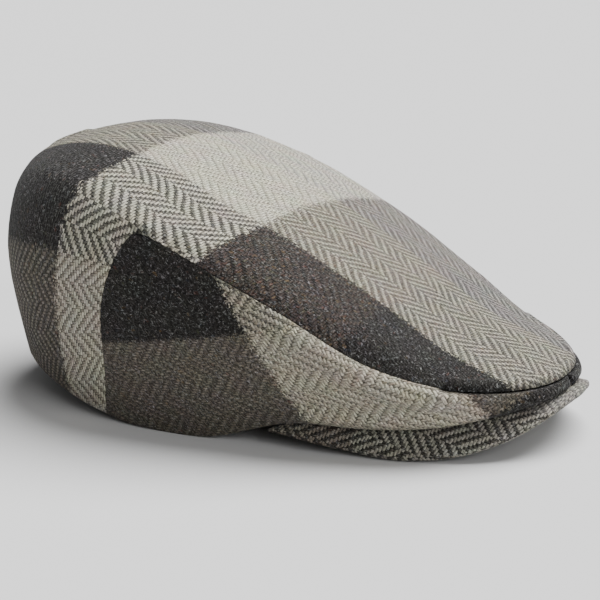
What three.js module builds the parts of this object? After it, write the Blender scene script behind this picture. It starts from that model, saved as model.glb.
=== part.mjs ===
// A flat cap in block-check tweed, lying on its hem and on the sides of its peak.
// Four pieces: the long top panel, a side panel on each side, and the covered peak.
// Millimetres, +Z up. The front of the cap points to -Y and the wearer's right is -X.
// The origin is on the floor, under the middle of the cap's length.
import * as THREE from 'three';

// ---- Sizes ----------------------------------------------------------------

const CLOTH = 2.0;              // tweed with its backing
const SEAM_GAP = 0.4;           // clear gap left along each seam
const PEAK_THICK = 4.0;         // stiff board covered in cloth on both faces
const PEAK_END_THICK = 3.0;     // the peak thins towards each temple
const HEM_ON_PEAK_GAP = 0.6;    // clear gap between the crown's hem and the peak under it

// Each ring runs round the cap at one level. Its plan is two half ovals that meet at the
// widest point. An oval with roundness 2 is an ellipse, and a higher one is squarer.
// The last ring is the spine along the middle of the top, so its half width is nothing.
const RINGS = [
  { ring: 'hem', widestY: 0, halfWidth: 78, back: 103.5, front: 173, backRound: 2, frontRound: 2.2 },
  { ring: 'low', widestY: 0, halfWidth: 86, back: 106, front: 178, backRound: 2.05, frontRound: 2.3 },
  { ring: 'belly', widestY: 0, halfWidth: 92, back: 110.6, front: 179, backRound: 2.05, frontRound: 2.25 },
  { ring: 'seam', widestY: -4, halfWidth: 88.5, back: 108, front: 178, backRound: 2, frontRound: 2.25 },
  { ring: 'shoulder', widestY: -8, halfWidth: 78, back: 97, front: 170, backRound: 2.05, frontRound: 2.3 },
  { ring: 'spine', widestY: -39, halfWidth: 0, back: 81, front: 160, backRound: 2, frontRound: 2 },
];

// Height of each ring above the floor at places along its length: 1 is its back end, -1 its front.
const HEIGHTS = {
  along:    [1.00,  0.75,  0.50,  0.25,  0.00,  -0.16, -0.25, -0.50, -0.75, -1.00],
  hem:      [18.0,  12.6,  4.8,   0.5,   1.7,   9.0,   12.2,  12.2,  15.0,  24.2],
  low:      [35.5,  32.5,  29.0,  28.0,  28.5,  28.8,  28.5,  25.2,  23.8,  27.2],
  belly:    [67.0,  67.0,  66.0,  64.5,  60.0,  54.0,  50.0,  37.0,  31.0,  30.0],
  seam:     [95.0,  102.0, 102.5, 98.0,  83.0,  72.8,  66.5,  46.2,  34.8,  31.4],
  shoulder: [112.0, 117.2, 114.0, 104.2, 91.0,  81.2,  74.8,  57.2,  41.4,  35.8],
  spine:    [120.5, 125.8, 122.8, 113.5, 100.7, 91.8,  86.2,  69.4,  51.6,  40.8],
};

// The upright seam behind the ear: its angle round the cap from the centre back at each level,
// where level 0 is the hem, 1 low, 2 belly and 3 the top seam.
const UPRIGHT_SEAM = { level: [0, 1, 2, 3], angle: [76, 79.5, 81, 87] };

// The peak's sections from the temple to the centre front, on the wearer's left (+X).
// Each runs from the head opening (inner) under the hem at that angle to the rounded edge (outer).
const PEAK_SECTIONS = [
  { hemAngle: 108.5, outer: [76.5, -60.0, 8.6],  inner: [72.6, -62.5, 8.4] },
  { hemAngle: 120,   outer: [73.0, -93.0, 3.6],  inner: [60.5, -87.5, 18.5] },
  { hemAngle: 132,   outer: [65.8, -126.0, 0.6], inner: [43.5, -101.5, 25.0] },
  { hemAngle: 144,   outer: [53.5, -153.5, 5.4], inner: [28.0, -108.3, 28.5] },
  { hemAngle: 156,   outer: [37.0, -172.5, 13.8], inner: [15.5, -111.2, 30.0] },
  { hemAngle: 168,   outer: [19.5, -181.8, 20.8], inner: [7.0, -111.9, 30.4] },
  { hemAngle: 180,   outer: [0, -185.0, 23.4],   inner: [0, -112.0, 30.5] },
];

// How finely the cloth is divided.
const COLUMNS_BEHIND_SEAM = 10;
const COLUMNS_BEFORE_SEAM = 32;
const ROWS_BELOW_SEAM = 9;
const ROWS_ABOVE_SEAM = 10;
const PEAK_STATIONS = 26;       // from a temple to the centre front
const PEAK_ROWS = 7;            // across the flat of the peak
const PEAK_ROUND_STEPS = 3;     // steps in each quarter of its rounded edge

const COLOURS = {
  top_panel: 0x8d877c,
  side_panel_right: 0x6c675e,
  side_panel_left: 0x75706a,
  peak: 0x7d776c,
};
const CLOTH_ROUGHNESS = 0.95;

// ---- Curves ---------------------------------------------------------------

const COLUMNS = COLUMNS_BEHIND_SEAM + COLUMNS_BEFORE_SEAM;
const ROWS = ROWS_BELOW_SEAM + ROWS_ABOVE_SEAM;
const SEAM_LEVEL = 3;
const SPINE_LEVEL = RINGS.length - 1;

// A smooth curve through a table of values, whose xs rise or fall steadily.
function smoothTable(xs, ys) {
  const n = xs.length;
  const slope = [];
  for (let i = 0; i < n - 1; i++) slope.push((ys[i + 1] - ys[i]) / (xs[i + 1] - xs[i]));
  const tangent = [slope[0]];
  for (let i = 1; i < n - 1; i++) {
    const before = Math.abs(xs[i] - xs[i - 1]);
    const after = Math.abs(xs[i + 1] - xs[i]);
    tangent.push((slope[i - 1] * after + slope[i] * before) / (before + after));
  }
  tangent.push(slope[n - 2]);
  return (x) => {
    let i = 0;
    while (i < n - 2 && (x - xs[i + 1]) * (xs[n - 1] - xs[0]) > 0) i++;
    const h = xs[i + 1] - xs[i];
    const t = (x - xs[i]) / h;
    const t2 = t * t;
    const t3 = t2 * t;
    return (2 * t3 - 3 * t2 + 1) * ys[i] + (t3 - 2 * t2 + t) * h * tangent[i]
      + (3 * t2 - 2 * t3) * ys[i + 1] + (t3 - t2) * h * tangent[i + 1];
  };
}

const ringHeights = RINGS.map((r) => smoothTable(HEIGHTS.along, HEIGHTS[r.ring]));

// A point of a ring on the wearer's right, at an angle in radians from the centre back.
function ringPoint(level, angle) {
  const r = RINGS[level];
  const c = Math.cos(angle);
  const s = Math.sin(angle);
  const power = 2 / (c >= 0 ? r.backRound : r.frontRound);
  const reach = c >= 0 ? r.back - r.widestY : r.front + r.widestY;
  const y = r.widestY + reach * Math.sign(c) * Math.abs(c) ** power;
  const x = -r.halfWidth * Math.abs(s) ** power;
  const along = (2 * y - (r.back - r.front)) / (r.back + r.front);
  return new THREE.Vector3(x, y, ringHeights[level](along));
}

const mirrored = (p) => new THREE.Vector3(-p.x, p.y, p.z);

// The cloth line that climbs from the hem over the spine at one angle.
function climbingCurve(angle) {
  const near = RINGS.map((_, level) => ringPoint(level, angle));
  const far = near.slice(0, SPINE_LEVEL).reverse().map(mirrored);
  return new THREE.CatmullRomCurve3([...near, ...far], false, 'centripetal');
}

const seamAngle = smoothTable(UPRIGHT_SEAM.level, UPRIGHT_SEAM.angle.map(THREE.MathUtils.degToRad));

function rowLevel(row) {
  if (row <= ROWS_BELOW_SEAM) return SEAM_LEVEL * row / ROWS_BELOW_SEAM;
  return SEAM_LEVEL + (SPINE_LEVEL - SEAM_LEVEL) * (row - ROWS_BELOW_SEAM) / ROWS_ABOVE_SEAM;
}

function columnAngle(column, level) {
  const seam = seamAngle(Math.min(level, SEAM_LEVEL));
  if (column <= COLUMNS_BEHIND_SEAM) return seam * column / COLUMNS_BEHIND_SEAM;
  return seam + (Math.PI - seam) * (column - COLUMNS_BEHIND_SEAM) / COLUMNS_BEFORE_SEAM;
}

// The right half of the crown's outer face, as a grid of rows from the hem up to the spine.
const crown = [];
for (let row = 0; row <= ROWS; row++) {
  const level = rowLevel(row);
  const line = [];
  for (let column = 0; column <= COLUMNS; column++) {
    const curve = climbingCurve(columnAngle(column, level));
    const p = curve.getPoint(level / (2 * SPINE_LEVEL));
    if (column === 0 || column === COLUMNS || row === ROWS) p.x = 0;
    line.push(p);
  }
  crown.push(line);
}

// ---- Cloth ----------------------------------------------------------------

// The whole skin of the crown: shared points, and four-sided faces sorted by piece.
function crownSkin() {
  const points = [];
  const faces = { top_panel: [], side_panel_right: [], side_panel_left: [] };
  const index = new Map();

  // The two halves share their points along the centre back, the spine and the centre front.
  function vertex(onLeft, row, column) {
    const shared = column === 0 || column === COLUMNS || row === ROWS;
    const key = `${shared ? 'middle' : onLeft},${row},${column}`;
    if (!index.has(key)) {
      index.set(key, points.length);
      points.push(onLeft ? mirrored(crown[row][column]) : crown[row][column].clone());
    }
    return index.get(key);
  }

  for (const onLeft of [false, true]) {
    const side = onLeft ? faces.side_panel_left : faces.side_panel_right;
    for (let row = 0; row < ROWS; row++) {
      for (let column = 0; column < COLUMNS; column++) {
        const atSpineEnd = row === ROWS - 1 && (column === 0 || column === COLUMNS - 1);
        if (atSpineEnd) continue;
        const inSide = row < ROWS_BELOW_SEAM && column >= COLUMNS_BEHIND_SEAM;
        const face = [
          vertex(onLeft, row, column), vertex(onLeft, row + 1, column),
          vertex(onLeft, row + 1, column + 1), vertex(onLeft, row, column + 1),
        ];
        (inSide ? side : faces.top_panel).push(onLeft ? face : face.reverse());
      }
    }
  }

  // One face closes the cloth round each end of the spine.
  for (const [end, beside] of [[0, 1], [COLUMNS, COLUMNS - 1]]) {
    const face = [
      vertex(true, ROWS - 1, end), vertex(true, ROWS - 1, beside),
      vertex(true, ROWS, beside), vertex(false, ROWS - 1, beside),
    ];
    faces.top_panel.push(end === 0 ? face.reverse() : face);
  }
  return { points, faces };
}

// Four-sided faces split along their shorter diagonal.
function split(points, faces) {
  return faces.flatMap(([a, b, c, d]) => (
    points[a].distanceTo(points[c]) <= points[b].distanceTo(points[d])
      ? [[a, b, c], [a, c, d]]
      : [[a, b, d], [b, c, d]]));
}

function geometryOf(points, triangles) {
  const geometry = new THREE.BufferGeometry();
  const coordinates = points.flatMap((p) => p.toArray());
  geometry.setAttribute('position', new THREE.Float32BufferAttribute(coordinates, 3));
  geometry.setIndex(triangles.flat());
  geometry.computeVertexNormals();
  return geometry;
}

function normalsOf(points, triangles) {
  const normals = geometryOf(points, triangles).getAttribute('normal');
  return points.map((_, i) => new THREE.Vector3().fromBufferAttribute(normals, i));
}

const skin = crownSkin();
const skinNormals = normalsOf(skin.points, split(skin.points, Object.values(skin.faces).flat()));

// One piece of the crown as a closed wall. Its inner face lies one cloth thickness inside the outer
// one, strips close its edges, and its seams are drawn in so that the next piece stays clear of it.
function clothPiece(name) {
  const own = skin.faces[name];
  const otherPieces = Object.keys(skin.faces).filter((other) => other !== name);
  const others = new Set(otherPieces.flatMap((other) => skin.faces[other].flat()));
  const used = [...new Set(own.flat())];
  const local = new Map(used.map((v, i) => [v, i]));
  const inwards = used.map(() => new THREE.Vector3());
  for (const face of own) {
    const centre = face.reduce((sum, v) => sum.add(skin.points[v]), new THREE.Vector3()).divideScalar(4);
    for (const v of face) inwards[local.get(v)].add(centre.clone().sub(skin.points[v]));
  }
  const outer = used.map((v, i) => {
    const p = skin.points[v].clone();
    return others.has(v) ? p.addScaledVector(inwards[i].normalize(), SEAM_GAP / 2) : p;
  });
  const inner = used.map((v, i) => outer[i].clone().addScaledVector(skinNormals[v], -CLOTH));

  const count = used.length;
  const rightSide = split(outer, own.map((face) => face.map((v) => local.get(v))));
  const wrongSide = rightSide.map(([a, b, c]) => [a + count, c + count, b + count]);
  const edges = new Set(rightSide.flatMap(([a, b, c]) => [`${a},${b}`, `${b},${c}`, `${c},${a}`]));
  const strips = [];
  for (const edge of edges) {
    const [a, b] = edge.split(',').map(Number);
    if (!edges.has(`${b},${a}`)) strips.push([b, a, a + count], [b, a + count, b + count]);
  }
  return geometryOf([...outer, ...inner], [...rightSide, ...wrongSide, ...strips]);
}

// ---- Peak -----------------------------------------------------------------

function peak() {
  const outerCurve = new THREE.CatmullRomCurve3(PEAK_SECTIONS.map((s) => new THREE.Vector3(...s.outer)));
  const innerCurve = new THREE.CatmullRomCurve3(PEAK_SECTIONS.map((s) => new THREE.Vector3(...s.inner)));
  const rows = PEAK_SECTIONS.map((_, i) => i / (PEAK_SECTIONS.length - 1));
  const hemAngle = smoothTable(rows, PEAK_SECTIONS.map((s) => THREE.MathUtils.degToRad(s.hemAngle)));

  // Middle face of the peak on the wearer's left, as a curve from the edge in to the head opening.
  function section(t) {
    const outer = outerCurve.getPoint(t);
    const inner = innerCurve.getPoint(t);
    const hem = mirrored(ringPoint(0, hemAngle(t)));
    const ahead = mirrored(ringPoint(0, hemAngle(t) - 0.02));
    const up = hem.clone().sub(ahead).cross(outer.clone().sub(inner)).normalize();
    const thick = THREE.MathUtils.lerp(PEAK_END_THICK, PEAK_THICK, Math.min(1, 4 * t));
    const under = hem.addScaledVector(up, -(thick / 2 + HEM_ON_PEAK_GAP));
    return { curve: new THREE.CatmullRomCurve3([outer, under, inner], false, 'centripetal'), thick };
  }

  // Distances in from the edge: a rounded nose, then even steps to the head opening.
  const stations = [];
  for (let i = 0; i <= PEAK_STATIONS; i++) stations.push(section(i / PEAK_STATIONS));
  const middle = stations.map(({ curve, thick }) => {
    const length = curve.getLength();
    const nose = thick / 2 / length;
    const line = [];
    for (let i = 0; i <= PEAK_ROUND_STEPS; i++) {
      const turn = Math.PI / 2 * i / PEAK_ROUND_STEPS;
      line.push({ at: nose * (1 - Math.cos(turn)), half: thick / 2 * Math.sin(turn) });
    }
    for (let i = 1; i <= PEAK_ROWS; i++) {
      line.push({ at: Math.min(1, nose + (1 - nose) * i / PEAK_ROWS), half: thick / 2 });
    }
    return line.map(({ at, half }) => ({ p: curve.getPointAt(at), along: curve.getTangentAt(at), half }));
  });

  // Closed section loops from the right temple round the front to the left temple.
  const loops = [];
  for (let i = -PEAK_STATIONS; i <= PEAK_STATIONS; i++) {
    const station = PEAK_STATIONS - Math.abs(i);
    const next = middle[Math.min(station + 1, PEAK_STATIONS)];
    const before = middle[Math.max(station - 1, 0)];
    const top = [];
    const bottom = [];
    middle[station].forEach(({ p, along, half }, j) => {
      const round = next[j].p.clone().sub(before[j].p);
      if (station === PEAK_STATIONS) round.set(-1, 0, 0);
      const up = along.clone().cross(round).normalize();
      const onRight = i < 0;
      const upper = p.clone().addScaledVector(up, half);
      const lower = p.clone().addScaledVector(up, -half);
      top.push(onRight ? mirrored(upper) : upper);
      if (j > 0) bottom.unshift(onRight ? mirrored(lower) : lower);
    });
    loops.push([...top, ...bottom]);
  }

  const points = loops.flat();
  const around = loops[0].length;
  const faces = [];
  for (let i = 0; i < loops.length - 1; i++) {
    for (let j = 0; j < around; j++) {
      const a = i * around + j;
      const b = i * around + (j + 1) % around;
      faces.push([a, a + around, b + around], [a, b + around, b]);
    }
  }
  const lastLoop = (loops.length - 1) * around;
  for (let j = 1; j < around - 1; j++) {
    faces.push([0, j, j + 1], [lastLoop, lastLoop + j + 1, lastLoop + j]);
  }
  return geometryOf(points, faces);
}

// ---- The cap --------------------------------------------------------------

function addPiece(name, geometry) {
  const look = { color: COLOURS[name], roughness: CLOTH_ROUGHNESS, metalness: 0 };
  const mesh = new THREE.Mesh(geometry, new THREE.MeshStandardMaterial(look));
  mesh.name = name;
  cap.add(mesh);
}

const cap = new THREE.Group();
cap.name = 'flat_cap';
for (const name of Object.keys(skin.faces)) addPiece(name, clothPiece(name));
addPiece('peak', peak());

// The rings are drawn about the middle of the head opening, and the cap is set about its own middle.
const furthestBack = Math.max(...RINGS.map((r) => r.back));
const furthestFront = Math.max(...PEAK_SECTIONS.map((s) => -s.outer[1]));
cap.position.y = (furthestFront - furthestBack) / 2;

export default cap;
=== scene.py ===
# %% [markdown]
# # A flat cap in block-check tweed
#
# A flat cap is cut from flat cloth: one long top panel, a side panel over each ear, and a
# stiff peak covered in the same tweed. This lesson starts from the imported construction
# model, which holds each piece at its real size, and turns every piece into woven cloth.
# Lengths are metres, +Z is up, -Y is the front of the cap.

# %% Load the construction model
import math

import bmesh
import bpy
import numpy as np
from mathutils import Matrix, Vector, kdtree


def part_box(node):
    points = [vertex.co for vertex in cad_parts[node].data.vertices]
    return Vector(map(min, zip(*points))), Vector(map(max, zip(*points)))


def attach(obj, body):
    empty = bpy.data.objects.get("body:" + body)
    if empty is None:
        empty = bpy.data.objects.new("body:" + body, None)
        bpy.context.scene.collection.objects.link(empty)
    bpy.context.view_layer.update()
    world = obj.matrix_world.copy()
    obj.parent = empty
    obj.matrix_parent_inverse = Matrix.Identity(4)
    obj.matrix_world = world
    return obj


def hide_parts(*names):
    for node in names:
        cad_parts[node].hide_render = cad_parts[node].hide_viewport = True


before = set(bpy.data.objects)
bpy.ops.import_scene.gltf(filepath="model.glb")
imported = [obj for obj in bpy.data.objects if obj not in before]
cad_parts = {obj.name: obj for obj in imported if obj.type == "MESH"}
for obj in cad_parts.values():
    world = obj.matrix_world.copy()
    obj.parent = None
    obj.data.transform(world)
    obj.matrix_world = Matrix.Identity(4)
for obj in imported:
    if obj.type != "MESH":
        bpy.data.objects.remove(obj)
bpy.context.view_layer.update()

MM = 0.001

# %% [markdown]
# ## Picking up a piece
#
# The construction pieces are shells of loose triangles with hard facets. Each soft piece could
# be drawn anew, but a copy keeps its real size and place. The copy is merged into one connected
# mesh and its triangles are paired back into quads, because a subdivision surface follows a
# grid of quads smoothly. The originals are left alone.

# %% Copy a construction piece as a clean quad mesh
MERGE = 0.01 * MM
QUAD_LIMIT = math.radians(60)   # the most that a new quad may bend, or lean from a rectangle


def copy_of(node, name):
    bpy.ops.object.select_all(action="DESELECT")
    piece = bpy.data.objects.new(name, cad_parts[node].data.copy())
    piece.data.name = name
    piece.data.materials.clear()
    bpy.context.scene.collection.objects.link(piece)
    bpy.context.view_layer.objects.active = piece
    piece.select_set(True)
    bpy.ops.object.mode_set(mode="EDIT")
    bpy.ops.mesh.select_all(action="SELECT")
    bpy.ops.mesh.remove_doubles(threshold=MERGE)
    bpy.ops.mesh.tris_convert_to_quads(face_threshold=QUAD_LIMIT, shape_threshold=QUAD_LIMIT)
    bpy.ops.mesh.select_all(action="DESELECT")
    bpy.ops.object.mode_set(mode="OBJECT")
    print(name, "starts with", len(piece.data.polygons), "faces")
    return piece


def select_in_edit_mode(piece, faces=None, edges=None):
    """Enters edit mode on the piece and selects the faces or edges that pass a test."""
    bpy.ops.object.mode_set(mode="EDIT")
    bpy.ops.mesh.select_mode(type="FACE" if faces else "EDGE")
    bpy.ops.mesh.select_all(action="DESELECT")
    mesh = bmesh.from_edit_mesh(piece.data)
    for part in mesh.faces if faces else mesh.edges:
        part.select_set((faces or edges)(part))
    mesh.select_flush_mode()
    bmesh.update_edit_mesh(piece.data)


# %% [markdown]
# ## The right side of the cloth
#
# Each crown panel is a wall with a right side, a wrong side and narrow edges. Both sides
# could be shaped together, but a single skin is easier, so only the right side is kept here,
# and a Solidify modifier gives the thickness back at the end. One face that is surely outside
# is picked, the selection spreads over the faces that bend gently away from it, and the rest
# is deleted.

# %% Keep only the outer skin of a crown panel
CORNER = math.radians(50)       # a sharper turn than this is an edge of the cloth and not a bend


def keep_right_side(piece, outwards):
    direction = Vector(outwards)
    outermost = max(piece.data.polygons, key=lambda face: Vector(face.center).dot(direction)).index
    select_in_edit_mode(piece, faces=lambda face: face.index == outermost)
    bpy.ops.mesh.faces_select_linked_flat(sharpness=CORNER)
    bpy.ops.mesh.select_all(action="INVERT")
    bpy.ops.mesh.delete(type="FACE")
    bpy.ops.object.mode_set(mode="OBJECT")
    print(piece.name, "right side has", len(piece.data.polygons), "faces")


# %% [markdown]
# ## The paper pattern
#
# A weave runs straight only on flat cloth. Drawn in the object's own space, it would smear
# wherever the cap is steep, so the pattern is drawn where a cutter draws it: on the piece laid
# flat. Blender's angle-based unwrap is that flattening. A piece too round to lie flat as it is
# gets opened along a seam first.

# %% Lay a piece flat
FLAT_MAP = "flat_cloth"
UNWRAP_MARGIN = 0.01


def unwrap(piece, cut):
    """Opens the piece along the edges that pass a test and lays it flat."""
    for layer in list(piece.data.uv_layers):
        piece.data.uv_layers.remove(layer)
    piece.data.uv_layers.new(name=FLAT_MAP)
    select_in_edit_mode(piece, edges=cut)
    bpy.ops.mesh.mark_seam()
    bpy.ops.mesh.select_mode(type="FACE")
    bpy.ops.mesh.select_all(action="SELECT")
    bpy.ops.uv.unwrap(method="ANGLE_BASED", margin=UNWRAP_MARGIN)
    bpy.ops.object.mode_set(mode="OBJECT")


def islands_of(mesh):
    """The number of the pattern piece that each face is on: pieces part along marked seams."""
    edge_faces = {}
    for face in mesh.polygons:
        for key in face.edge_keys:
            edge_faces.setdefault(key, []).append(face.index)
    cut = {tuple(sorted(edge.vertices)) for edge in mesh.edges if edge.use_seam}
    neighbours = [[] for _ in mesh.polygons]
    for key, faces in edge_faces.items():
        if key not in cut and len(faces) == 2:
            neighbours[faces[0]].append(faces[1])
            neighbours[faces[1]].append(faces[0])
    island = np.full(len(mesh.polygons), -1)
    number = 0
    for start in range(len(mesh.polygons)):
        if island[start] >= 0:
            continue
        waiting = [start]
        island[start] = number
        while waiting:
            for other in neighbours[waiting.pop()]:
                if island[other] < 0:
                    island[other] = number
                    waiting.append(other)
        number += 1
    return island


# %% [markdown]
# ## The pattern at its real size
#
# An unwrap has no scale and lies any way round. Each pattern piece is turned until the
# cloth's length runs from peak to back, and scaled until its area is that of the real piece,
# so that one UV unit is one metre of cloth. Both are measured on chosen faces, because a
# rounded piece can't be flat and true everywhere.

# %% Turn and scale a flat piece
def area_of(corners):
    """Area of a flat polygon from its corners."""
    total = 0.0
    for (x0, y0), (x1, y1) in zip(corners, corners[1:] + corners[:1]):
        total += x0 * y1 - x1 * y0
    return abs(total) / 2


def lay_flat(piece, cut, measured_on, zero_at):
    """Lays the piece flat to scale, measured on the faces whose centres pass a test, or on all
    where none does. The pattern's zero goes to the corner that is nearest to zero_at."""
    unwrap(piece, cut)
    mesh = piece.data
    uv = np.array([loop.uv[:] for loop in mesh.uv_layers[FLAT_MAP].data])
    corner_vertex = np.array([loop.vertex_index for loop in mesh.loops])
    place = np.array([vertex.co[:] for vertex in mesh.vertices])[corner_vertex]
    island = islands_of(mesh)
    for number in range(island.max() + 1):
        faces = [face for face in mesh.polygons if island[face.index] == number]
        corners = np.concatenate([list(face.loop_indices) for face in faces])
        chosen = [face for face in faces if measured_on(face.center)] or faces
        seen = np.concatenate([list(face.loop_indices) for face in chosen])
        flat_area = sum(area_of([uv[i] for i in face.loop_indices]) for face in chosen)
        scale = math.sqrt(sum(face.area for face in chosen) / flat_area)
        rows = np.c_[uv[seen], np.ones(len(seen))]
        towards_back = np.linalg.lstsq(rows, place[seen, 1], rcond=None)[0][:2]
        towards_back /= np.linalg.norm(towards_back)
        across = np.array([towards_back[1], -towards_back[0]])
        laid = np.c_[uv[corners] @ across, uv[corners] @ towards_back] * scale
        nearest = np.argmin(np.linalg.norm(place[corners] - np.array(zero_at), axis=1))
        uv[corners] = laid - laid[nearest]
    for loop, value in zip(mesh.uv_layers[FLAT_MAP].data, uv):
        loop.uv = value
    print(piece.name, "laid flat in mm:", np.round((uv.max(0) - uv.min(0)) / MM))


# %% [markdown]
# ## Soft cloth from a coarse skin
#
# Steamed wool is rounded all over and never quite smooth. A cloth simulation could drape it,
# but a sewn and steamed crown holds its own shape, which the construction model already has.
# So subdivision rounds the coarse quads, and two Displace modifiers give slight lumps, broad
# ones and small puckers.

# %% Smooth and lump a piece
LUMPS = (("steamed_lumps", 42 * MM, 1.1 * MM), ("small_puckers", 11 * MM, 0.35 * MM))
ROUNDING_LEVELS = 2


def apply_modifier(piece, kind, **settings):
    bpy.context.view_layer.objects.active = piece
    modifier = piece.modifiers.new(kind, kind)
    for key, value in settings.items():
        setattr(modifier, key, value)
    bpy.ops.object.modifier_apply(modifier=modifier.name)


def soften(piece):
    apply_modifier(piece, "SUBSURF", levels=ROUNDING_LEVELS, render_levels=ROUNDING_LEVELS,
                   boundary_smooth="PRESERVE_CORNERS")
    for name, size, height in LUMPS:
        lumps = bpy.data.textures.get(name) or bpy.data.textures.new(name, "CLOUDS")
        lumps.noise_scale = size
        apply_modifier(piece, "DISPLACE", texture=lumps, texture_coords="LOCAL",
                       strength=height, mid_level=0.5)


# %% [markdown]
# ## Where the cloth is sewn
#
# Two panels are sewn where their open edges lie side by side. The top panel is also closed
# down the back, along the edges where its pattern was opened. The open edges that are left
# over are the hem. Seams could be picked out by hand, but found in this way they stay right
# when the cap's shape changes.

# %% Find the seams and the hem
TOUCHING = 3.0 * MM     # edges nearer to each other than this are sewn together
STITCH = 0.5 * MM       # from point to point along a seam, at most


def nearest_of(points):
    """A search tree that finds the nearest of some points."""
    tree = kdtree.KDTree(len(points))
    for number, point in enumerate(points):
        tree.insert(point, number)
    tree.balance()
    return tree


def stitches(a, b):
    """Points in small equal steps from a to b."""
    number = max(1, math.ceil((b - a).length / STITCH))
    return [a.lerp(b, i / number) for i in range(number + 1)]


def open_edges(piece):
    """The ends of each edge that has a face on one side only."""
    count = {}
    for face in piece.data.polygons:
        for key in face.edge_keys:
            count[key] = count.get(key, 0) + 1
    place = [vertex.co.copy() for vertex in piece.data.vertices]
    return [(place[a], place[b]) for (a, b), faces in count.items() if faces == 1]


def seam_between(one, other):
    """Points along the open edges of two skins, where they lie side by side."""
    points = []
    for skin, mate in ((one, other), (other, one)):
        near = nearest_of([end for edge in open_edges(mate) for end in edge])
        for a, b in open_edges(skin):
            if near.find((a + b) / 2)[2] <= TOUCHING:
                points += stitches(a, b)
    return points


def seam_within(skin):
    """Points along the edges where a skin's pattern was opened."""
    place = [vertex.co.copy() for vertex in skin.data.vertices]
    points = []
    for edge in skin.data.edges:
        if edge.use_seam:
            points += stitches(*(place[number] for number in edge.vertices))
    return points


def hem_of(piece, sewn):
    """The open edges of a piece that lie away from every sewn point."""
    near = nearest_of(sewn)
    return [edge for edge in open_edges(piece) if near.find(sum(edge, Vector()) / 2)[2] > TOUCHING]


# %% [markdown]
# ## Seams and hems in relief
#
# Cloth sinks into a seam, and on one side the seam allowance folded under it raises a flat
# ledge. The hem is turned under and not pressed flat, so above the peak it rolls a little
# outwards and leaves a dark line beneath it. Separate strips of mesh could stand for these,
# but the cloth runs on through them, so they are heights over the soft skin: each vertex is
# moved along its own normal. The distance to the seam is kept as an attribute, so that the
# material can shade the valley.

# %% Sink seams and roll hems
SEAM_DISTANCE = "seam_mm"
SEAM_SINK = 1.9 * MM
SEAM_SINK_WIDTH = 4.5 * MM
LEDGE = 0.8 * MM
LEDGE_END = 7.0 * MM        # from the seam to where the allowance ends
LEDGE_FADE = 2.0 * MM       # over which the cloth comes down from the ledge
HEM_ROLL = 2.6 * MM
HEM_ROLL_WIDTH = 12.0 * MM
HEM_ROLL_FORWARD = (15 * MM, 45 * MM)   # in front of the middle, from no roll to a full one
HEM_ROLL_CLEAR = (1.0, 5.0)             # mm from the seam, from no roll to a full one


def smooth_step(value, low, high):
    t = min(1.0, max(0.0, (value - low) / (high - low)))
    return t * t * (3 - 2 * t)


def push_out(piece, height_at):
    """Moves each vertex along its normal, by the height that is worked out for it."""
    normals = [vertex.normal.copy() for vertex in piece.data.vertices]
    for vertex, normal in zip(piece.data.vertices, normals):
        vertex.co += normal * height_at(vertex)


def sink_seams(piece, seams, ledge):
    near = nearest_of(seams)
    distance = piece.data.attributes.new(SEAM_DISTANCE, "FLOAT", "POINT").data

    def height_at(vertex):
        away = near.find(vertex.co)[2]
        distance[vertex.index].value = away / MM
        lift = ledge * smooth_step(LEDGE_END - away, 0, LEDGE_FADE)
        sink = SEAM_SINK * max(0.0, 1 - away / SEAM_SINK_WIDTH) ** 2
        return lift - sink

    push_out(piece, height_at)


def roll_hem(piece, hem):
    """Rounds the cloth outwards just above the hem, over the peak and clear of the seams."""
    near = nearest_of([end for edge in hem for end in edge])
    distance = piece.data.attributes[SEAM_DISTANCE].data

    def height_at(vertex):
        part = min(1.0, near.find(vertex.co)[2] / HEM_ROLL_WIDTH)
        forward = smooth_step(-vertex.co.y, *HEM_ROLL_FORWARD)
        clear = smooth_step(distance[vertex.index].value, *HEM_ROLL_CLEAR)
        return HEM_ROLL * math.sin(math.pi * part) * forward * clear

    push_out(piece, height_at)
    print(piece.name, "hem edges:", len(hem))


# %% [markdown]
# ## Thickness
#
# Tweed with its backing is taken as 2 mm thick. The wrong side could be shaped like the right
# one, but nothing is seen of it that asks for more than an even thickness. Solidify adds that
# inwards, so the right side stays where it was shaped, and a small bevel rounds the cut edges,
# which are never sharp in wool.

# %% Give the cloth its thickness
CLOTH = 2.0 * MM
EDGE_ROUND = 0.7 * MM


def thicken(piece):
    apply_modifier(piece, "SOLIDIFY", thickness=CLOTH, offset=-1.0, use_even_offset=True, use_rim=True)
    apply_modifier(piece, "BEVEL", width=EDGE_ROUND, segments=2, limit_method="ANGLE",
                   angle_limit=CORNER)


def finish_piece(piece, material):
    bpy.ops.object.select_all(action="DESELECT")
    piece.select_set(True)
    bpy.context.view_layer.objects.active = piece
    bpy.ops.object.shade_smooth()
    piece.data.materials.clear()
    piece.data.materials.append(material)
    triangles = sum(len(face.vertices) - 2 for face in piece.data.polygons)
    print(piece.name, "ends with", triangles, "triangles")


# %% [markdown]
# ## Colours and nodes
#
# Colours are written as sRGB hex values, as on a dyer's shade card, and one function turns
# them to linear light. One small function adds a node: an input is linked where it is given
# another node's output, and set where it is given a value. A Mix node's inputs go by number,
# because their names repeat: 2 and 3 are values, 4 and 5 vectors, 6 and 7 colours.

# %% Colour and node helpers
def shade(code):
    channels = [int(code[i:i + 2], 16) / 255 for i in (1, 3, 5)]
    linear = [c / 12.92 if c <= 0.04045 else ((c + 0.055) / 1.055) ** 2.4 for c in channels]
    return (*linear, 1.0)


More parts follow.
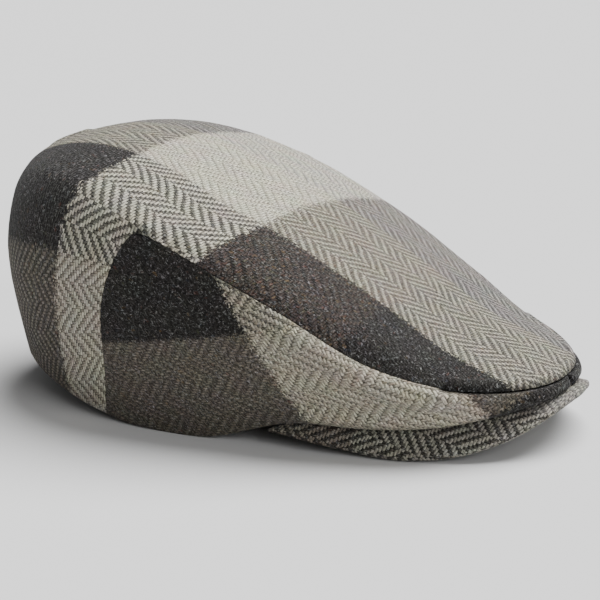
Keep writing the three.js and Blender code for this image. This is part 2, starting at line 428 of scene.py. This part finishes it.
def add_node(tree, kind, inputs=(), **settings):
    """Adds a node. Inputs come by name or number in a dict, or in their order in a tuple."""
    node = tree.nodes.new(kind)
    for name, value in settings.items():
        setattr(node, name, value)
    for key, value in inputs.items() if isinstance(inputs, dict) else enumerate(inputs):
        if isinstance(value, bpy.types.NodeSocket):
            tree.links.new(value, node.inputs[key])
        else:
            node.inputs[key].default_value = value
    return node


# %% [markdown]
# ## The shade card
#
# The wool is dyed before it is spun, and fibres of many colours are carded together, so even
# a plain yarn is a mixture, with tufts of other dyes in it. How many tufts a yarn holds is
# written as a grey: the lighter, the more.

# %% Yarn shades
# a paler cream for the peak only: painted light, standing in for the light that the peak lacks in the
# crown's shade
PEAK_CREAM_PAINTED_LIGHT = "#d2cebe"
CREAM = "#aaa696"
STONE = "#a29d8c"
MID_GREY = "#938f89"
TAN = "#b0a597"
TAUPE = "#6d665b"
BROWN = "#362e29"
CHARCOAL = "#1f1d1b"
DYED_TUFTS = ("#7d4432", "#8d7040", "#46505f", "#565c38", "#8a6f68", "#241f1c")
FEW_TUFTS = "#505050"
MANY_TUFTS = "#a0a0a0"
print("share of tufts, few and many:", [round(shade(grey)[0], 2) for grey in (FEW_TUFTS, MANY_TUFTS)])

# %% [markdown]
# ## The weave
#
# The cloth is a herringbone twill: every yarn passes over two and under two, one step on from
# its neighbour, so the floats climb in slanting strokes, and the slant turns round every few
# yarns, which makes the bones. The warp, which runs from peak to back, changes colour across
# the cloth, and the weft changes colour along it. Where both are alike the cloth looks plain,
# and where a dark yarn crosses a pale one the bones show. A picture of tweed could be laid
# over the cap, but it would blur up close, and its check would not meet the seams where it
# should. So these nodes count the yarns, find the one on top at each spot and take its
# colour, and the check draws itself.

# %% Count the yarns
YARN_PITCH = 1.385      # mm from yarn to yarn, in a thick carded wool
BONE_YARNS = 8          # yarns from one turn of the slant to the next
FLOAT_YARNS = 2         # a yarn passes over two and under two
YARN_ARCH = 0.8         # how much lower a yarn lies at its sides than in its middle
FLOAT_ARCH = 0.5        # how much lower a float lies at its ends
print("a bone is", round(BONE_YARNS * YARN_PITCH, 1), "mm wide")


def arch(tree, part, depth):
    """1 in the middle of a yarn or float, falling by depth to its edges or ends."""
    turn = add_node(tree, "ShaderNodeMath", (part, math.pi), operation="MULTIPLY").outputs[0]
    sine = add_node(tree, "ShaderNodeMath", (turn,), operation="SINE").outputs[0]
    falling = (sine, depth, 1 - depth)
    return add_node(tree, "ShaderNodeMath", falling, operation="MULTIPLY_ADD").outputs[0]


def twill(tree, yarns):
    """Finds at each spot if the warp lies on top, which yarn that is, and how high it stands."""
    counting = {0: yarns, "Scale": 1 / YARN_PITCH}
    counted = add_node(tree, "ShaderNodeVectorMath", counting, operation="SCALE").outputs[0]
    number = add_node(tree, "ShaderNodeVectorMath", (counted,), operation="FLOOR").outputs[0]
    within = add_node(tree, "ShaderNodeVectorMath", (counted,), operation="FRACTION").outputs[0]
    end, pick, _ = add_node(tree, "ShaderNodeSeparateXYZ", (number,)).outputs
    in_end, in_pick, _ = add_node(tree, "ShaderNodeSeparateXYZ", (within,)).outputs

    # The slant goes up over one bone and down over the next, which starts half a repeat on.
    middle = add_node(tree, "ShaderNodeMath", (end, BONE_YARNS + 0.5), operation="ADD").outputs[0]
    fold = add_node(tree, "ShaderNodeMath", (middle, BONE_YARNS), operation="PINGPONG").outputs[0]
    bones = add_node(tree, "ShaderNodeMath", (middle, 2 * BONE_YARNS), operation="DIVIDE").outputs[0]
    part = add_node(tree, "ShaderNodeMath", (bones,), operation="FRACT").outputs[0]
    turned = add_node(tree, "ShaderNodeMath", (part, 0.5), operation="GREATER_THAN").outputs[0]
    lifting = (turned, FLOAT_YARNS, pick)
    lifted = add_node(tree, "ShaderNodeMath", lifting, operation="MULTIPLY_ADD").outputs[0]
    count = add_node(tree, "ShaderNodeMath", (fold, lifted), operation="ADD").outputs[0]
    repeat = (count, 2 * FLOAT_YARNS)
    step = add_node(tree, "ShaderNodeMath", repeat, operation="FLOORED_MODULO").outputs[0]
    warp_up = add_node(tree, "ShaderNodeMath", (step, FLOAT_YARNS), operation="LESS_THAN").outputs[0]

    # Each float is an arch, high in its middle and low where it dives under.
    along_warp = add_node(tree, "ShaderNodeMath", (step, in_pick), operation="ADD").outputs[0]
    in_float = add_node(tree, "ShaderNodeMath", (along_warp, FLOAT_YARNS), operation="DIVIDE").outputs[0]
    warp_arches = (arch(tree, in_end, YARN_ARCH), arch(tree, in_float, FLOAT_ARCH))
    warp_high = add_node(tree, "ShaderNodeMath", warp_arches, operation="MULTIPLY").outputs[0]
    weft_high = arch(tree, in_pick, YARN_ARCH)
    heights = {"Factor": warp_up, 2: weft_high, 3: warp_high}
    height = add_node(tree, "ShaderNodeMix", heights).outputs[0]
    own_number = add_node(tree, "ShaderNodeMix", {"Factor": warp_up, 2: pick, 3: end}).outputs[0]
    return warp_up, own_number, height


# %% [markdown]
# ## Bands of colour
#
# On the loom, a band of colour is a run of yarns of one shade. A warp band here is six bones
# wide, so its edges fall where the slant turns. Each band could be a test of its own, but a
# colour ramp with hard steps holds the whole run of shades in one node. The same steps, in
# greys, say how many dyed tufts a band has.

# %% Step through the shades
WARP_BAND = 6 * BONE_YARNS * YARN_PITCH     # mm of cloth width in one warp colour
WEFT_BAND = 71.0                            # mm of cloth length in one weft colour
print("warp bands of", round(WARP_BAND, 1), "mm, weft bands of", WEFT_BAND, "mm")


def steps(tree, part, shades):
    """Divides 0 to 1 into equal steps, one for each shade."""
    ramp = add_node(tree, "ShaderNodeValToRGB", (part,))
    ramp.color_ramp.interpolation = "CONSTANT"
    stops = ramp.color_ramp.elements
    while len(stops) < len(shades):
        stops.new(1.0)
    for number, code in enumerate(shades):
        stops[number].position = number / len(shades)
        stops[number].color = shade(code)
    return ramp.outputs[0]


def bands(tree, coordinate, band, shades):
    """Steps through the shades, one band after another, from the first edge on."""
    check = (coordinate, band * len(shades))
    repeats = add_node(tree, "ShaderNodeMath", check, operation="DIVIDE").outputs[0]
    part = add_node(tree, "ShaderNodeMath", (repeats,), operation="FRACT").outputs[0]
    return steps(tree, part, shades)


# %% [markdown]
# ## Yarns that wander
#
# Carded yarn is uneven, and no yarn of such a cloth lies quite straight. The mesh could be
# warped, but yarns are far finer than its faces. So waves of noise, wide ones and small ones,
# push the flat cloth about before its yarns are counted. The same push also makes the ragged
# line between two blocks, further on.

# %% Push the yarns about
WANDER = ((16.0, 2.2), (2.6, 0.8), (0.9, 0.4))      # mm: size of the waves and how far they push


def push(tree, waves, distance, spot):
    """Moves a spot on the flat cloth by waves that swing about 0.5, times a distance in mm."""
    half = (0.5, 0.5, 0.5)
    swing = add_node(tree, "ShaderNodeVectorMath", (waves, half), operation="SUBTRACT").outputs[0]
    pushed = (swing, (distance, distance, 0), spot)
    return add_node(tree, "ShaderNodeVectorMath", pushed, operation="MULTIPLY_ADD").outputs[0]


def wander(tree, place):
    yarns = place
    for size, distance in WANDER:
        waves = add_node(tree, "ShaderNodeTexNoise", {"Vector": place, "Scale": 1 / size}).outputs[1]
        yarns = push(tree, waves, distance, yarns)
    return yarns


# %% [markdown]
# ## Nap and tufts
#
# A nap of loose fibre lies over the cloth. Strands of hair could be grown on it, but the
# thousands that it takes would be heavier than all the rest of the model. Here the nap is
# noise. It hides some of the yarn on top, in patches a yarn or so wide, and drags one block's
# colour a little way into the next. Tufts of dyed wool show through as flecks, as many as the
# weft band holds.

# %% Blur the check and fleck it
NAP_SIZE = 1.1              # mm
NAP = {"Scale": 1 / NAP_SIZE, "Detail": 4.0, "Roughness": 0.65}
NAP_NOISE = (0.35, 0.65)    # the noise where the nap is thinnest and thickest
RAGGED_EDGE = 15.0          # mm: times the swing of the nap's noise, how far blocks mingle
TUFT_SIZE = 1.5             # mm
TUFT_STRENGTH = 0.15        # the most that a tuft covers its yarn


def fleck(tree, yarns, share, woven):
    """Dyes a share of the small cells of the cloth, each with its own dye and strength."""
    cells = add_node(tree, "ShaderNodeTexVoronoi", {"Vector": yarns, "Scale": 1 / TUFT_SIZE}).outputs[1]
    dye, lot, strength = add_node(tree, "ShaderNodeSeparateColor", (cells,)).outputs
    is_tuft = add_node(tree, "ShaderNodeMath", (lot, share), operation="LESS_THAN").outputs[0]
    weak = add_node(tree, "ShaderNodeMath", (strength, TUFT_STRENGTH), operation="MULTIPLY").outputs[0]
    amount = add_node(tree, "ShaderNodeMath", (is_tuft, weak), operation="MULTIPLY").outputs[0]
    dyed = {"Factor": amount, 6: woven, 7: steps(tree, dye, DYED_TUFTS)}
    return add_node(tree, "ShaderNodeMix", dyed, data_type="RGBA").outputs[2]


def check_colour(tree, place, yarns, warp_up, warp, weft, tufts, nap_blur):
    """The colour of the check at each spot, seen through its nap and with its tufts."""
    nap = add_node(tree, "ShaderNodeTexNoise", {"Vector": place, **NAP}).outputs
    ragged = push(tree, nap[1], RAGGED_EDGE, yarns)
    across, along, _ = add_node(tree, "ShaderNodeSeparateXYZ", (ragged,)).outputs
    warp_colour = bands(tree, across, WARP_BAND, warp)
    weft_colour = bands(tree, along, WEFT_BAND, weft)
    hidden = add_node(tree, "ShaderNodeMapRange", (nap[0], *NAP_NOISE, 0.0, nap_blur)).outputs[0]
    showing = (warp_up, 1 - nap_blur, hidden)
    shown = add_node(tree, "ShaderNodeMath", showing, operation="MULTIPLY_ADD").outputs[0]
    crossed = {"Factor": shown, 6: weft_colour, 7: warp_colour}
    woven = add_node(tree, "ShaderNodeMix", crossed, data_type="RGBA").outputs[2]
    share = bands(tree, along, WEFT_BAND, tufts)
    share = add_node(tree, "ShaderNodeSeparateColor", (share,)).outputs[0]
    return fleck(tree, yarns, share, woven)


# %% [markdown]
# ## Fibre and shade
#
# Up close, a yarn is a bundle of fibres that lie along it in light and dark streaks, and the
# hollows between yarns and the valley of a seam are in shade. The light could find those
# hollows by itself if they were mesh, but they are only a bump, so they are shaded here. A
# single fibre of wool is a few hundredths of a millimetre thick, too fine to show, so the
# streaks are drawn as coarse as whole locks of it. Each gain is four numbers: two values of
# what drives it, and how bright the colour is made at the one and at the other.

# %% Shade the fibres and the hollows
LOCK_WIDTH = 0.65                       # mm
LOCK_LENGTH = 2.3                       # mm
LOCK_NOISE = {"Scale": 1.0, "Detail": 3.0, "Roughness": 0.7}
LOCK_GAIN = (0.3, 0.7, 0.2, 1.8)        # by the noise of the locks
HOLLOW_GAIN = (0.1, 0.8, 0.25, 1.25)    # by the height of the yarn
VALLEY_GAIN = (0.0, 3.6, 0.35, 1.0)     # by the distance to a seam, in mm


def locks_of_fibre(tree, place, warp_up, yarn_number):
    """Streaks along the yarn on top, which differ from yarn to yarn."""
    on_warp = (place, (1 / LOCK_WIDTH, 1 / LOCK_LENGTH, 0))
    on_weft = (place, (1 / LOCK_LENGTH, 1 / LOCK_WIDTH, 0))
    warpwise = add_node(tree, "ShaderNodeVectorMath", on_warp, operation="MULTIPLY").outputs[0]
    weftwise = add_node(tree, "ShaderNodeVectorMath", on_weft, operation="MULTIPLY").outputs[0]
    ways = {"Factor": warp_up, 4: weftwise, 5: warpwise}
    lengthwise = add_node(tree, "ShaderNodeMix", ways, data_type="VECTOR").outputs[1]
    noise = {"Vector": lengthwise, "W": yarn_number, **LOCK_NOISE}
    return add_node(tree, "ShaderNodeTexNoise", noise, noise_dimensions="4D").outputs[0]


def shaded(tree, colour, lock, height):
    """Lightens and darkens a colour by its streaks, its hollows and the seam's valley."""
    seam = add_node(tree, "ShaderNodeAttribute", attribute_name=SEAM_DISTANCE).outputs["Fac"]
    streak = add_node(tree, "ShaderNodeMapRange", (lock, *LOCK_GAIN)).outputs[0]
    hollow = add_node(tree, "ShaderNodeMapRange", (height, *HOLLOW_GAIN)).outputs[0]
    valley = add_node(tree, "ShaderNodeMapRange", (seam, *VALLEY_GAIN),
                      interpolation_type="SMOOTHSTEP").outputs[0]
    gain = streak
    for factor in (hollow, valley):
        gain = add_node(tree, "ShaderNodeMath", (gain, factor), operation="MULTIPLY").outputs[0]
    scaling = {0: colour, "Scale": gain}
    return add_node(tree, "ShaderNodeVectorMath", scaling, operation="SCALE").outputs[0]


# %% [markdown]
# ## Hairs and cloudy dye
#
# Curly pale hairs lie over all of it. They are drawn as noise for the same reason as the nap,
# and as coarse as the locks. Wool also takes its dye a little unevenly. One tint over the
# whole cap would not show that, so broad clouds change the colour a little, each channel of
# it in its own places.

# %% Lay hairs over the cloth and cloud its dye
HAIR_SIZE = 1.3                         # mm
HAIRS = {"Scale": 1 / HAIR_SIZE, "Detail": 4.0, "Roughness": 0.7, "Distortion": 1.2}
HAIR_LIGHT = (0.55, 0.74, 0.0, 0.24)    # two values of the noise, and what is added at each
CLOUD_SIZE = 11.0                       # mm
CLOUDS = {"Scale": 1 / CLOUD_SIZE, "Detail": 3.0}
CLOUD_DEPTH = 0.25                      # from the palest cloud to the darkest, as a gain


def haired(tree, place, colour):
    hairs = add_node(tree, "ShaderNodeTexNoise", {"Vector": place, **HAIRS}).outputs[0]
    light = add_node(tree, "ShaderNodeMapRange", (hairs, *HAIR_LIGHT)).outputs[0]
    return add_node(tree, "ShaderNodeVectorMath", (colour, light), operation="ADD").outputs[0]


def clouded(tree, place, colour):
    clouds = add_node(tree, "ShaderNodeTexNoise", {"Vector": place, **CLOUDS}).outputs[1]
    about_one = (clouds, (CLOUD_DEPTH,) * 3, (1 - CLOUD_DEPTH / 2,) * 3)
    gain = add_node(tree, "ShaderNodeVectorMath", about_one, operation="MULTIPLY_ADD").outputs[0]
    return add_node(tree, "ShaderNodeVectorMath", (colour, gain), operation="MULTIPLY").outputs[0]


# %% [markdown]
# ## Tweed
#
# The steps above make one material, tweed woven from carded wool. Its relief comes from the
# same yarns and locks as its colour. It could be displaced mesh, but it is a bump, because it
# is finer than any mesh that the cap can carry. Wool is matt: a rough surface, a weak
# highlight, and a little sheen from the hairs that stand up at the rim.

# %% Weave the tweed
LOCK_RELIEF = 1.2           # height of the locks, where that of the yarns is 1
RELIEF = 0.45 * MM
RELIEF_STRENGTH = 0.9
MATT_WOOL = {"Roughness": 0.95, "Specular IOR Level": 0.1, "Sheen Weight": 0.08,
             "Sheen Roughness": 0.5}


def tweed(name, warp, weft, warp_edge, weft_edge, tufts, nap_blur):
    """Tweed whose warp and weft step on from an edge, in mm. tufts sets, as greys, how flecked
    each weft band is, and nap_blur is the share of the top yarn's colour that the nap hides."""
    material = bpy.data.materials.new(name)
    material.use_nodes = True
    tree = material.node_tree
    tree.nodes.clear()

    flat = add_node(tree, "ShaderNodeUVMap", uv_map=FLAT_MAP).outputs[0]
    from_edges = (flat, (1 / MM, 1 / MM, 0), (-warp_edge, -weft_edge, 0))
    place = add_node(tree, "ShaderNodeVectorMath", from_edges, operation="MULTIPLY_ADD").outputs[0]
    yarns = wander(tree, place)
    warp_up, yarn_number, height = twill(tree, yarns)
    lock = locks_of_fibre(tree, place, warp_up, yarn_number)
    colour = check_colour(tree, place, yarns, warp_up, warp, weft, tufts, nap_blur)
    colour = shaded(tree, colour, lock, height)
    colour = clouded(tree, place, haired(tree, place, colour))

    both = (lock, LOCK_RELIEF, height)
    relief = add_node(tree, "ShaderNodeMath", both, operation="MULTIPLY_ADD").outputs[0]
    raised = {"Height": relief, "Strength": RELIEF_STRENGTH, "Distance": RELIEF}
    bump = add_node(tree, "ShaderNodeBump", raised).outputs[0]
    wool = {"Base Color": colour, "Normal": bump, **MATT_WOOL}
    wool = add_node(tree, "ShaderNodeBsdfPrincipled", wool).outputs[0]
    add_node(tree, "ShaderNodeOutputMaterial", (wool,))
    print(name, "has", len(tree.nodes), "nodes")
    return material


# %% [markdown]
# ## Cutting the cloth
#
# Cut from one check, every piece would share its shades. Here the top, the sides and the peak
# each have a run of shades of their own, chosen piece by piece, so that every block has its
# right colour. The peak's cream is paler than the top's: that is painted light, which makes up
# for the shade that the crown casts on the peak. The lists read towards the wearer's left for
# the warp and towards the back for the weft.

# %% Cut the cloth for each piece
top_cloth = tweed(
    "herringbone_tweed_top",
    warp=(MID_GREY, TAUPE, CHARCOAL, STONE), warp_edge=22.0,
    weft=(CREAM, CHARCOAL, CHARCOAL, BROWN), weft_edge=-9.0,
    tufts=(FEW_TUFTS, FEW_TUFTS, FEW_TUFTS, MANY_TUFTS), nap_blur=0.36,
)
side_cloth = tweed(
    "herringbone_tweed_sides",
    warp=(CHARCOAL, TAUPE), warp_edge=3.0,
    weft=(CHARCOAL, CHARCOAL, CHARCOAL, STONE), weft_edge=-22.0,
    tufts=(FEW_TUFTS, FEW_TUFTS, FEW_TUFTS, MANY_TUFTS), nap_blur=0.65,
)
# the peak's weft takes the paler cream, which is painted light for the crown's shade on it
peak_cloth = tweed(
    "herringbone_tweed_peak",
    warp=(MID_GREY, CHARCOAL), warp_edge=-28.0,
    weft=(TAN, PEAK_CREAM_PAINTED_LIGHT, PEAK_CREAM_PAINTED_LIGHT), weft_edge=48.0,
    tufts=(MANY_TUFTS, FEW_TUFTS, FEW_TUFTS), nap_blur=0.35,
)

# %% [markdown]
# ## Steam
#
# Steamed over a block, tweed slides and shears, and its check no longer runs straight. A
# simulation of its yarns would be long work. These functions stand for it: they swing the
# pattern on a piece's flat cloth, in mm, until the check's lines run as they do on the cap.
# They are fitted curves and not a calculation of how cloth moves. The yarns of the left side
# panel mirror those of the right one.

# %% Steam the cloth to shape
GRAIN_TILT = 0.12           # the top panel lies a little off the straight grain
WING_START = 51.0           # mm from the spine to where the wings round the back begin
WING_SWING = 0.14           # how much the crosswise yarns swing back per mm of wing
WING_SWING_GROWTH = 0.0034  # and how much more for each mm further back
ROUND_BACK = 0.43           # how fast the lengthwise yarns turn in round the back
ROUND_BACK_START = 14.0     # mm behind the pattern's zero
ROUND_BACK_FADE = 58.0      # mm from the spine, where they stay straight, to the full turn
SIDE_SHEAR = 0.36           # the side panels' lengthwise yarns rise towards the back


def steam_top(across, along):
    wing = np.maximum(0, np.abs(across) - WING_START)
    along = along + GRAIN_TILT * across - (WING_SWING + WING_SWING_GROWTH * along) * wing
    fade = np.clip(np.abs(across) / ROUND_BACK_FADE, 0, 1)
    turned_in = ROUND_BACK * np.maximum(0, along - ROUND_BACK_START) * fade * fade * (3 - 2 * fade)
    return across + np.sign(across) * turned_in, along


def steam_right(across, along):
    return across - SIDE_SHEAR * along, along


def steam_left(across, along):
    return -across - SIDE_SHEAR * along, along


def steam(piece, moved):
    layer = piece.data.uv_layers[FLAT_MAP].data
    flat = np.array([corner.uv[:] for corner in layer]) / MM
    across, along = moved(flat[:, 0], flat[:, 1])
    for corner, u, v in zip(layer, across, along):
        corner.uv = (u * MM, v * MM)


# %% [markdown]
# ## The crown
#
# The crown is a top panel and two side panels. They could be finished one by one, but they
# are made together, because each seam is shared by two of them. The top panel rounds the back
# of the head too closely to lie flat as it is, so its pattern is opened down the middle there.
# Each pattern is measured near the middle of the cap. On the top that is a broad run of cloth
# from front to back, and on the sides the strip over the peak.

# %% Lay out the crown panels
PANELS = {
    "top_panel": {
        "name": "tweed_top_panel", "outwards": (0, 0, 1), "zero_at": (0, 0, 101 * MM),
        "cloth": top_cloth, "steam": steam_top,
    },
    "side_panel_right": {
        "name": "tweed_side_panel_right", "outwards": (-1, 0, 0), "zero_at": (-90 * MM, 0, 50 * MM),
        "cloth": side_cloth, "steam": steam_right,
    },
    "side_panel_left": {
        "name": "tweed_side_panel_left", "outwards": (1, 0, 0), "zero_at": (90 * MM, 0, 50 * MM),
        "cloth": side_cloth, "steam": steam_left,
    },
}
BACK_SEAM_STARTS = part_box("top_panel")[1].y - 30 * MM   # in front of the rearmost point
ON_THE_MIDDLE = 0.05 * MM
MEASURED_WITHIN = 60 * MM


def on_back_seam(edge):
    return all(abs(v.co.x) < ON_THE_MIDDLE and v.co.y > BACK_SEAM_STARTS for v in edge.verts)


def near_the_middle(place):
    return abs(place.x) < MEASURED_WITHIN


skins = {}
for node, panel in PANELS.items():
    skin = copy_of(node, panel["name"])
    keep_right_side(skin, panel["outwards"])
    lay_flat(skin, cut=on_back_seam, measured_on=near_the_middle, zero_at=panel["zero_at"])
    steam(skin, panel["steam"])
    skins[node] = skin

# %% [markdown]
# ## Sewing the crown
#
# The panels could be joined into one mesh, but they stay three pieces of cloth, as on the real
# cap. The seams are found on the coarse skins, which still lie edge to edge, and pressed into
# the softened ones. The side panels also meet at the centre front, under the lip. That join is
# flat, so it isn't sunk like the others, but it isn't hem either.

# %% Sew the crown
top_skin, *side_skins = skins.values()
sunk_seams = seam_within(top_skin)
for side_skin in side_skins:
    sunk_seams += seam_between(top_skin, side_skin)
front_join = seam_between(*side_skins)
print("points on the sunk seams:", len(sunk_seams), "and on the front join:", len(front_join))

for node, panel in PANELS.items():
    skin = skins[node]
    soften(skin)
    hem = hem_of(skin, sunk_seams + front_join)
    sink_seams(skin, sunk_seams, LEDGE if skin is top_skin else 0.0)
    if skin is not top_skin:
        roll_hem(skin, hem)
    thicken(skin)
    finish_piece(skin, panel["cloth"])
    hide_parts(node)
    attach(skin, "root")

# %% [markdown]
# ## The peak
#
# The peak is a stiff curved board with cloth drawn over both faces. Board and cloth could be
# two pieces, but the board never shows. It is unwrapped as one pattern piece for each face,
# which part all round the edge, and its two blunt ends come off as scraps. It is a closed
# shell already, so it is given no thickness.

# %% Make the peak
peak = copy_of("peak", "tweed_peak")
select_in_edit_mode(peak, faces=lambda face: face.normal.z > 0)
bpy.ops.mesh.region_to_loop()
bpy.ops.mesh.mark_seam()
bpy.ops.object.mode_set(mode="OBJECT")
lay_flat(peak, cut=lambda edge: edge.seam, measured_on=lambda place: True,
         zero_at=(0, -120 * MM, 30 * MM))
soften(peak)
finish_piece(peak, peak_cloth)
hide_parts("peak")
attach(peak, "root")

# %% [markdown]
# ## The studio
#
# The cap lies on a broad floor of pale matt paper.

# %% Floor
FLOOR_SIZE = 8.0
PALE_PAPER = "#cdcdcd"
PAPER_ROUGHNESS = 0.9

bpy.ops.object.select_all(action="DESELECT")
bpy.ops.mesh.primitive_plane_add(size=FLOOR_SIZE, location=(0, 0, 0))
floor = bpy.context.object
floor.name = "studio_floor"
paper = bpy.data.materials.new("pale_paper")
paper.use_nodes = True
paper_surface = paper.node_tree.nodes["Principled BSDF"].inputs
paper_surface["Base Color"].default_value = shade(PALE_PAPER)
paper_surface["Roughness"].default_value = PAPER_ROUGHNESS
floor.data.materials.append(paper)
print("floor of", FLOOR_SIZE, "m in", PALE_PAPER)

# %% [markdown]
# ## The light
#
# The light is that of a soft tent: a wide scrim overhead, a little beyond the cap, a weak card
# low in front that opens up the shade under the crown, and a dim white room round them. Area
# lamps could make it, but each needs a place and a size. A sun with a wide face gives the same
# soft light all over the cap and needs only a side to shine from.

# %% Light
LAMPS = (
    {"name": "overhead_scrim", "side": (0.42, -0.18, 0.9), "face": 50, "strength": 7.6},
    {"name": "front_card", "side": (-0.45, -0.8, 0.45), "face": 40, "strength": 1.5},
)
ROOM_WHITE = "#ffffff"
ROOM_STRENGTH = 0.2

room = bpy.data.worlds.new("studio_room")
bpy.context.scene.world = room
room.use_nodes = True
room_light = room.node_tree.nodes["Background"].inputs
room_light["Color"].default_value = shade(ROOM_WHITE)
room_light["Strength"].default_value = ROOM_STRENGTH

for lamp in LAMPS:
    light = bpy.data.lights.new(lamp["name"], "SUN")
    light.angle = math.radians(lamp["face"])
    light.energy = lamp["strength"]
    holder = bpy.data.objects.new(lamp["name"], light)
    holder.location = lamp["side"]
    holder.rotation_euler = Vector(lamp["side"]).to_track_quat("Z", "Y").to_euler()
    bpy.context.scene.collection.objects.link(holder)
    print(lamp["name"], "shines from", lamp["side"])

# %% [markdown]
# ## The camera
#
# The camera looks at the cap's right side, from a little in front and above. A short lens
# close by would swell the near side, so it stands off with a long one. The lens is shifted a
# little to place the cap in the frame, which leaves the direction of view as it is.

# %% Camera
CAMERA_AZIMUTH = math.radians(-64.5)
CAMERA_ELEVATION = math.radians(15.0)
CAMERA_ROLL = math.radians(0.45)
CAMERA_DISTANCE = 1.1
CAMERA_TARGET = Vector((0, 7.2 * MM, 60 * MM))
CAMERA_LENS = 135.9         # mm, on a sensor of 36 mm
CAMERA_SENSOR = 36
CAMERA_SHIFT = (0.032, -0.042)

camera = bpy.data.objects.new("camera", bpy.data.cameras.new("camera"))
towards_camera = Vector((
    math.sin(CAMERA_AZIMUTH) * math.cos(CAMERA_ELEVATION),
    -math.cos(CAMERA_AZIMUTH) * math.cos(CAMERA_ELEVATION),
    math.sin(CAMERA_ELEVATION),
))
camera.location = CAMERA_TARGET + towards_camera * CAMERA_DISTANCE
camera.rotation_euler = towards_camera.to_track_quat("Z", "Y").to_euler()
camera.rotation_euler.rotate_axis("Z", CAMERA_ROLL)
camera.data.lens = CAMERA_LENS
camera.data.sensor_width = CAMERA_SENSOR
camera.data.shift_x, camera.data.shift_y = CAMERA_SHIFT
bpy.context.scene.collection.objects.link(camera)
bpy.context.scene.camera = camera
print("camera at", [round(value, 3) for value in camera.location])
